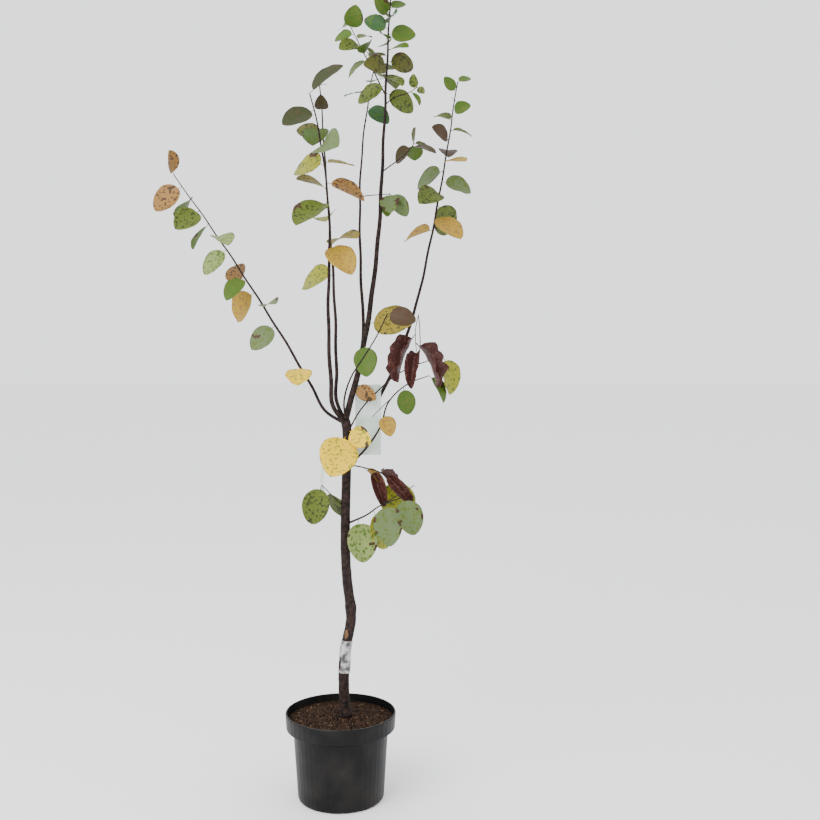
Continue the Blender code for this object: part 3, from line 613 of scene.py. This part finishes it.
def label_material():
    """White plastic, a little greened."""
    return two_tone_material(
        "blank white plastic",
        tone=(0.50, 0.60, 0.53),
        other=(0.66, 0.73, 0.69),
        roughness=0.4,
        gloss=0.4,
        scale=30.0,
        between=(0.40, 0.60),
        relief=0.05,
    )


def cut_material():
    """The fresh wood of a pruning cut."""
    return two_tone_material(
        "cut quince wood",
        tone=(0.07, 0.035, 0.016),
        other=(0.20, 0.11, 0.055),
        roughness=0.7,
        gloss=0.1,
        scale=300.0,
        between=(0.38, 0.68),
        relief=0.3,
    )


def finish_mesh(name, shape, materials, node):
    """Makes a finished object of a bmesh that stands for a CAD node."""
    mesh = bpy.data.meshes.new(name)
    bmesh.ops.recalc_face_normals(shape, faces=shape.faces)
    for face in shape.faces:
        face.smooth = True
    shape.to_mesh(mesh)
    shape.free()
    for material in materials:
        mesh.materials.append(material)
    obj = bpy.data.objects.new(name, mesh)
    bpy.context.scene.collection.objects.link(obj)
    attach(obj, BODY)
    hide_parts(node)


def read_angle(angles, share):
    """An angle at a share of the length, from those at the foot, collar, middle and tip."""
    stops = (0.0, COLLAR_SHARE, MIDDLE_SHARE, 1.0)
    for index in range(len(stops) - 1):
        if share <= stops[index + 1]:
            break
    t = (share - stops[index]) / (stops[index + 1] - stops[index])
    return angles[index] + (angles[index + 1] - angles[index]) * t


def pointing(clock, out):
    """The direction at a clock angle seen from the front, leaning out to the front."""
    clock, out = math.radians(clock), math.radians(out)
    return Vector((math.cos(out) * math.sin(clock), -math.sin(out), math.cos(out) * math.cos(clock)))


def shoot_path(name, foot):
    """The points of a shoot's middle line, stepped up from its foot along its leaning angles."""
    shoot = SHOOTS[name]
    chance = random.Random("path " + name)
    steps = max(FEWEST_STEPS, round(shoot.length / STEP))
    path = [foot]
    for step in range(steps):
        share = (step + 0.5) / steps
        side = WOBBLE if step % 2 else -WOBBLE
        lean = read_angle(shoot.lean, share) + side * chance.uniform(*WOBBLE_SHARE)
        forward = read_angle(shoot.forward, share)
        path.append(path[-1] + pointing(lean, forward) * (shoot.length / steps))
    return path


def smoothed(path, steps):
    """A denser path along the Catmull-Rom curve through the given points."""
    knots = [path[0] * 2 - path[1]] + list(path) + [path[-1] * 2 - path[-2]]
    dense = []
    for before, start, end, after in zip(knots, knots[1:], knots[2:], knots[3:]):
        for step in range(steps):
            t = step / steps
            dense.append(0.5 * (
                2 * start
                + (end - before) * t
                + (2 * before - 5 * start + 4 * end - after) * t ** 2
                + (3 * start - before - 3 * end + after) * t ** 3
            ))
    dense.append(knots[-2])
    return dense


class Limb:
    """A tapering round limb along a path."""

    def __init__(self, path, radius, sides, swellings=()):
        self.foot, self.tip = radius
        self.sides = sides
        self.swellings = swellings
        self.path = path
        walked = [0.0]
        for start, end in zip(self.path, self.path[1:]):
            walked.append(walked[-1] + (end - start).length)
        self.length = walked[-1]
        self.shares = [distance / self.length for distance in walked]
        self.axes = self.turn_axes()

    def turn_axes(self):
        """One sideways axis at each point of the path, carried along without twist."""
        axes = []
        axis = Vector((1.0, 0.0, 0.0))
        for index in range(len(self.path)):
            before = self.path[max(index - 1, 0)]
            after = self.path[min(index + 1, len(self.path) - 1)]
            along = (after - before).normalized()
            axis = (axis - along * axis.dot(along)).normalized()
            axes.append((along, axis))
        return axes

    def place(self, share):
        """The point, the direction and the sideways axis at a share of the length."""
        for index in range(len(self.shares) - 1):
            if share <= self.shares[index + 1]:
                break
        low, high = self.shares[index], self.shares[index + 1]
        t = (share - low) / (high - low)
        point = self.path[index].lerp(self.path[index + 1], t)
        along = self.axes[index][0].lerp(self.axes[index + 1][0], t).normalized()
        axis = self.axes[index][1].lerp(self.axes[index + 1][1], t)
        axis = (axis - along * axis.dot(along)).normalized()
        return point, along, axis

    def radius(self, share, height):
        """The radius there, with the swellings near that height."""
        radius = self.foot + (self.tip - self.foot) * share
        for level, extra, reach in self.swellings:
            radius += extra * math.exp(-((height - level) / reach) ** 2)
        return radius

    def tube(self, shape, start, end, relief=0.0):
        """Adds the closed tube between two shares of the length to a bmesh, with bark relief."""
        between = [s for s in self.shares if start + NEAREST_RING < s < end - NEAREST_RING]
        stations = [start] + between + [end]
        rings = []
        for station in stations:
            point, along, axis = self.place(station)
            other = along.cross(axis)
            radius = self.radius(station, point.z)
            ring = []
            for side in range(self.sides):
                angle = math.tau * side / self.sides
                out = axis * math.cos(angle) + other * math.sin(angle)
                rough = noise.noise((point + out * radius) * RELIEF_SCALE) * relief
                ring.append(shape.verts.new(point + out * (radius * (1.0 + rough))))
            rings.append(ring)
        bridge_rings(shape, rings)
        shape.faces.new(reversed(rings[0]))
        shape.faces.new(rings[-1])


def bridge_rings(shape, rings):
    """Joins each ring of corners to the next with a band of faces."""
    for low, high in zip(rings, rings[1:]):
        for side in range(len(low)):
            after = (side + 1) % len(low)
            shape.faces.new((low[side], low[after], high[after], high[side]))


def blade_half_width(share):
    """The outline of a blade: its half width at a share of its length, 1 at the widest."""
    return math.sin(math.pi * share ** BLADE_LEAN) ** BLADE_FULLNESS


def add_leaf(shape, root, along, normal, length, breadth, curl, fold, tint, seed):
    """Adds one leaf to a bmesh: a stalk, and a thin, folded and rippled blade with browned patches."""
    ripples, ripple_step = RIPPLE, RIPPLE_STEP
    if tint == "dead":
        fold, curl, ripples, ripple_step = DEAD_FOLD, DEAD_CURL, DEAD_RIPPLE, DEAD_RIPPLE_STEP
    across = normal.cross(along)
    rise_share = math.tan(math.radians(fold))
    half_width = 0.5 * breadth * length * (1.0 - STALK_SHARE)
    if tint == "dead":
        half_width *= math.cos(math.radians(fold))
    thickness = max(LEAF_LEAST_THICKNESS, LEAF_THICKNESS_SHARE * length)
    arc = math.radians(max(curl, LEAF_LEAST_CURL))
    arc_radius = length / (2 * math.sin(arc / 2))

    def ring(share, half, thick):
        angle = arc * (share - 0.5)
        middle = (
            root
            + along * (arc_radius * (math.sin(angle) + math.sin(arc / 2)))
            + normal * (arc_radius * (math.cos(angle) - math.cos(arc / 2)))
        )
        up = normal * math.cos(angle) + along * math.sin(angle)
        corners = []
        for level in (0.5, -0.5):
            for place in ACROSS[::1 if level > 0 else -1]:
                spot = root * RIPPLE_SPREAD + Vector((share * ripple_step, place * RIPPLE_ACROSS, 0.0))
                wave = noise.noise(spot)
                ripple = half * ripples * wave * abs(place)
                rise = half * rise_share * abs(place) ** BLADE_CUP + ripple
                thin = thick * (1.0 - BLADE_EDGE_THINNING * abs(place))
                corner = middle + across * (half * place) + up * (rise + level * thin)
                corners.append(shape.verts.new(corner))
        return corners

    rings = [ring(end, STALK_HALF_WIDTH, 2 * STALK_HALF_WIDTH) for end in (0.0, STALK_SHARE)]
    for station in STATIONS:
        half = half_width * blade_half_width(station)
        thick = thickness * (BLADE_THINNING[0] - BLADE_THINNING[1] * station)
        rings.append(ring(STALK_SHARE + (1.0 - STALK_SHARE) * station, half, thick))
    rings.append(ring(1.0, TIP_HALF_WIDTH, TIP_THICKNESS))
    first = len(shape.faces)
    bridge_rings(shape, rings)
    shape.faces.new(reversed(rings[0]))
    shape.faces.new(rings[-1])
    shape.faces.ensure_lookup_table()
    tints = list(TINTS)
    browned = random.Random(seed).random() < BROWN_EDGE_SHARE
    for face in shape.faces[first:]:
        middle = face.calc_center_median()
        to_edge = abs((middle - root).dot(across)) / half_width
        to_tip = (middle - root).length / length
        worn = noise.noise(middle * BROWN_EDGE_SCALE) + to_edge * BROWN_TO_EDGE + to_tip * BROWN_TO_TIP
        turned_brown = browned and tint != "dead" and worn > BROWN_LEVEL
        face.material_index = tints.index("brown" if turned_brown else tint)


def lone_frame(leaf):
    """The direction along a leaf that stands alone, and the one that its upper face looks in."""
    along = pointing(leaf.clock, leaf.out)
    face = (FRONT - along * FRONT.dot(along)).normalized()
    side = along.cross(face)
    if side.z < 0.0:
        side = -side
    turned = math.radians(leaf.turned)
    return along, face * math.cos(turned) + side * math.sin(turned)


def rooted(limb, share, along):
    """A point just inside a limb's bark, on the side that a leaf there points to."""
    point, stem, _ = limb.place(share)
    sideways = along - stem * along.dot(stem)
    if sideways.length < ALONG_THE_STEM:
        return point
    return point + sideways.normalized() * (ROOTED_SHARE * limb.radius(share, point.z))


def foliage_leaves(limb, foliage):
    """The leaves of one shoot, by the spiral rule: each one's sizes and its tint."""
    chance = random.Random(foliage.seed)
    for number in range(foliage.count):
        t = number / max(foliage.count - 1, 1)
        share = foliage.first + (1.0 - foliage.first) * t ** CROWDED_TOP
        _, stem, axis = limb.place(share)
        side = foliage.start + SPIRAL * number + chance.uniform(*SPIRAL_UNEVEN)
        away = (side - foliage.favour + 180.0) % 360.0 - 180.0
        side = math.radians(foliage.favour + away * foliage.squeeze)
        level = (axis * math.cos(side) + stem.cross(axis) * math.sin(side)).normalized()
        spread = math.radians(foliage.spread[0] + (foliage.spread[1] - foliage.spread[0]) * t)
        droop = foliage.droop[0] + (foliage.droop[1] - foliage.droop[0]) * t
        hang = UP * droop * chance.uniform(*DROOP_UNEVEN)
        along = stem * math.cos(spread) + level * math.sin(spread) - hang
        along.normalize()
        facing = chance.uniform(*foliage.facing)
        normal = UP * (1.0 - facing) + FRONT * facing + level * OUTWARD_FACING
        normal = (normal - along * normal.dot(along)).normalized()
        length = foliage.size[0] + (foliage.size[1] - foliage.size[0]) * t
        length *= chance.uniform(*LENGTH_UNEVEN)
        sizes = (
            rooted(limb, share, along), along, normal, length,
            chance.uniform(*LEAF_BREADTH), chance.uniform(*foliage.curl), chance.uniform(*LEAF_FOLD),
        )
        tint = foliage.tints[min(int(t * len(foliage.tints)), len(foliage.tints) - 1)]
        yield sizes, tint


def make_limbs():
    """Every limb of the tree, by name, each starting on its parent's middle line."""
    line = [Vector((offset, 0.0, height)) for height, offset in TRUNK_LINE.items()]
    line = smoothed(line, TRUNK_SMOOTH_STEPS)
    limbs = {"trunk": Limb(line, TRUNK_RADIUS, TRUNK_SIDES, SWELLINGS)}
    waiting = list(SHOOTS)
    while waiting:
        name = waiting.pop(0)
        shoot = SHOOTS[name]
        if shoot.parent not in limbs:
            waiting.append(name)
            continue
        foot = limbs[shoot.parent].place(shoot.at)[0]
        sides = BOUGH_SIDES if name in BOUGHS else TWIG_SIDES
        limbs[name] = Limb(smoothed(shoot_path(name, foot), SMOOTH_STEPS), shoot.radius, sides)
    return limbs


def limb_trees(limbs):
    """A search tree of each limb, to find the leaves that would touch it."""
    trees = {}
    for name, limb in limbs.items():
        shape = bmesh.new()
        limb.tube(shape, 0.0, 1.0)
        trees[name] = BVHTree.FromBMesh(shape)
        shape.free()
    return trees


def touches(sizes, trees, own):
    """Whether a leaf's middle line passes through a limb that doesn't carry it."""
    root, along, length = sizes[0], sizes[1], sizes[3]
    start = root + along * (CARRIED_SHARE * length)
    reach = (1.0 - CARRIED_SHARE) * length
    for name, tree in trees.items():
        if name not in own and tree.ray_cast(start, along, reach)[0]:
            return True
    return False


def make_bark(limbs):
    """The trunk and the boughs, with bark relief."""
    shape = bmesh.new()
    limbs["trunk"].tube(shape, 0.0, 1.0, RELIEF)
    finish_mesh("trunk_bark", shape, [bark_material()], "trunk")
    for name, end in BOUGHS.items():
        shape = bmesh.new()
        limbs[name].tube(shape, 0.0, end, RELIEF)
        finish_mesh(name + "_bark", shape, [bark_material()], name + "_bough")


def make_masses(limbs, trees):
    """Each mass: its twigs and its leaves."""
    for name, (main, twigs) in MASSES.items():
        wood = bmesh.new()
        leaves = bmesh.new()
        for shoot in [main] + twigs:
            limb = limbs[shoot]
            limb.tube(wood, BOUGHS.get(shoot, 0.0), 1.0, RELIEF)
            foliage = SHOOTS[shoot].foliage
            if foliage is None:
                continue
            for number, (sizes, tint) in enumerate(foliage_leaves(limb, foliage)):
                if not touches(sizes, trees, [main] + twigs):
                    add_leaf(leaves, *sizes, tint, f"{shoot} {number}")
        finish_mesh(name + "_twigs", wood, [twig_material()], name)
        if len(leaves.faces):
            finish_mesh(name + "_leaves", leaves, [leaf_material(tint) for tint in TINTS], name)
        else:
            leaves.free()


def make_lone_leaves(limbs):
    """The leaves that stand alone."""
    for name, (shoot, leaf) in LONE_LEAVES.items():
        along, normal = lone_frame(leaf)
        shape = bmesh.new()
        root = rooted(limbs[shoot], leaf.at, along)
        add_leaf(
            shape, root, along, normal, leaf.length, leaf.breadth, leaf.curl, LEAF_FOLD[0], leaf.tint, name,
        )
        finish_mesh(name + "_blade", shape, [leaf_material(tint) for tint in TINTS], name)


def make_crumbs():
    """Crumbs of compost, scattered by a seeded rule over its surface, a little short of the rim."""
    chance = random.Random("compost")
    shape = bmesh.new()
    for _ in range(CRUMBS):
        reach = (RIM_RADIUS - CRUMB_MARGIN) * math.sqrt(chance.random())
        angle = chance.uniform(0.0, math.tau)
        size = chance.uniform(*CRUMB_SIZE)
        sloping = max(0.0, reach - SOIL_LEVEL_RADIUS) / (RIM_RADIUS - SOIL_LEVEL_RADIUS)
        height = SOIL_TOP - (SOIL_TOP - SOIL_EDGE) * sloping
        turn = Euler([chance.uniform(0.0, math.tau) for _ in range(3)]).to_matrix().to_4x4()
        turn.translation = Vector((reach * math.cos(angle), reach * math.sin(angle), height))
        made = bmesh.ops.create_icosphere(shape, subdivisions=1, radius=size / 2)
        stretch = chance.uniform(*CRUMB_STRETCH)
        for vert in made["verts"]:
            vert.co.x *= stretch
            vert.co = turn @ vert.co
        if chance.random() < CHIP_SHARE:
            for face in {face for vert in made["verts"] for face in vert.link_faces}:
                face.material_index = 1
    mesh = bpy.data.meshes.new("compost_crumbs")
    shape.to_mesh(mesh)
    shape.free()
    mesh.materials.append(compost_material())
    mesh.materials.append(chip_material())
    obj = bpy.data.objects.new("compost_crumbs", mesh)
    bpy.context.scene.collection.objects.link(obj)
    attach(obj, BODY)


def make_cut():
    """The pale pruning cut above the tape."""
    bpy.ops.mesh.primitive_uv_sphere_add(segments=CUT_SEGMENTS, ring_count=CUT_RINGS, radius=1.0)
    cut = bpy.context.active_object
    cut.name = "pruning_cut"
    for vert in cut.data.vertices:
        vert.co = Vector([value * size + place for value, size, place in zip(vert.co, CUT_SIZE, CUT_PLACE)])
    cut.data.shade_smooth()
    cut.data.materials.append(cut_material())
    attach(cut, BODY)


def repaint(node, material):
    """Gives a shown CAD node its finish."""
    obj = frame["nodes"][node]
    obj.data.materials.clear()
    obj.data.materials.append(material)


def make_stage():
    """The pale floor, the soft light and the camera."""
    bpy.ops.mesh.primitive_plane_add(size=FLOOR_SIZE)
    floor = bpy.context.active_object
    floor.name = "floor"
    floor.data.materials.append(plain_material("floor", FLOOR_COLOUR, FLOOR_ROUGHNESS))
    world = bpy.data.worlds.new("studio")
    bpy.context.scene.world = world
    world.use_nodes = True
    world.node_tree.nodes["Background"].inputs["Color"].default_value = SKY_COLOUR
    world.node_tree.nodes["Background"].inputs["Strength"].default_value = SKY_LIGHT
    bpy.ops.object.light_add(type="AREA", location=LAMP_PLACE)
    lamp = bpy.context.active_object
    lamp.data.size = LAMP_SIZE
    lamp.data.energy = LAMP_POWER
    lamp.rotation_euler = (Vector(LAMP_AIM) - lamp.location).to_track_quat("-Z", "Y").to_euler()
    camera = bpy.data.objects.new("camera", bpy.data.cameras.new("camera"))
    bpy.context.scene.collection.objects.link(camera)
    camera.location = CAMERA_PLACE
    camera.rotation_euler = (math.radians(90.0 - CAMERA_PITCH), 0.0, 0.0)
    camera.data.angle = math.radians(CAMERA_FIELD)
    bpy.context.scene.camera = camera


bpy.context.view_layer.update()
limbs = make_limbs()
make_bark(limbs)
make_masses(limbs, limb_trees(limbs))
make_lone_leaves(limbs)
make_crumbs()
make_cut()
repaint("pot", pot_material())
repaint("soil", compost_material())
repaint("grafting_tape", tape_material())
repaint("label", label_material())
make_stage()
